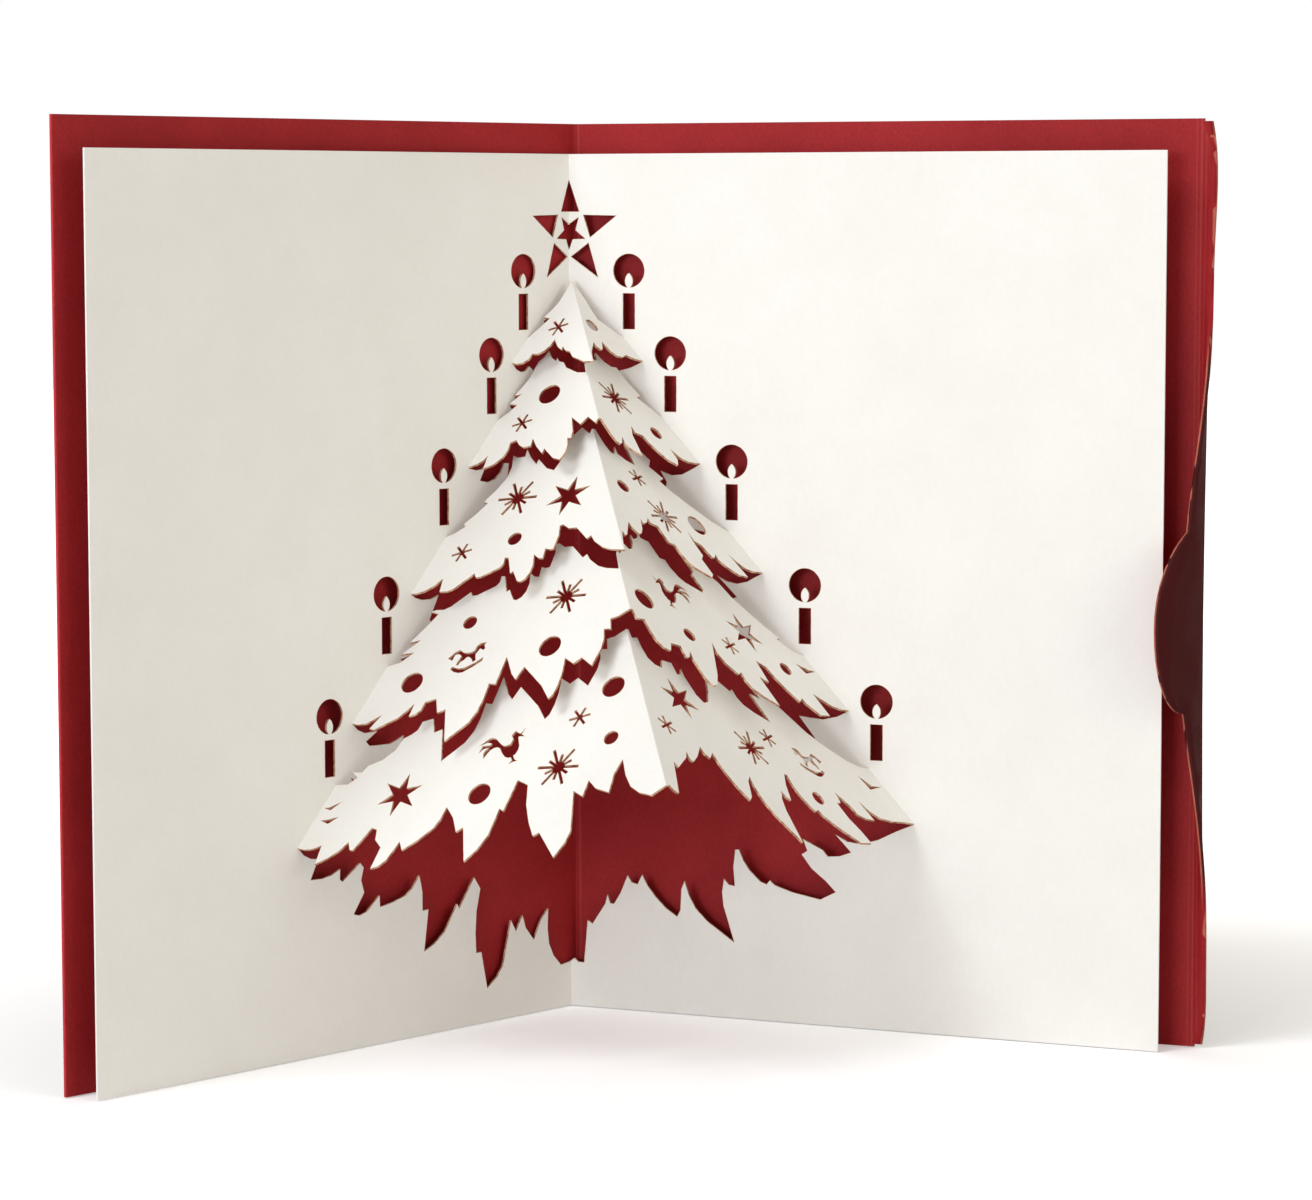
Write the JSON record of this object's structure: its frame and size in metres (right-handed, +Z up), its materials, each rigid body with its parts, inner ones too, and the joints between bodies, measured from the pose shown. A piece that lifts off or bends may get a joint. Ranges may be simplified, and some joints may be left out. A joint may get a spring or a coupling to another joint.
{
  "type": "pop up card",
  "caption": "Greeting card standing open in a V: a white sheet cut and folded into a tiered fir tree that springs forward, held in front of a larger red cover with a closing flap.",
  "frame": {"origin": "foot of the white sheet's main fold, on the surface that the card stands on", "axes": "+Z up along the main fold, +X across the card to the viewer's right, +Y away from the viewer; the card opens towards -Y"},
  "size_m": [0.2182, 0.0935, 0.178],
  "materials": {
    "white_card": "matt",
    "red_card": "matt",
    "foam": "matt"
  },
  "bodies": {
    "root": {"popup_sheet": "white_card", "cover": "red_card", "foam_pad_foot_left": "foam", "foam_pad_foot_right": "foam", "foam_pad_top_left": "foam", "foam_pad_top_right": "foam"}
  },
  "joints": []
}
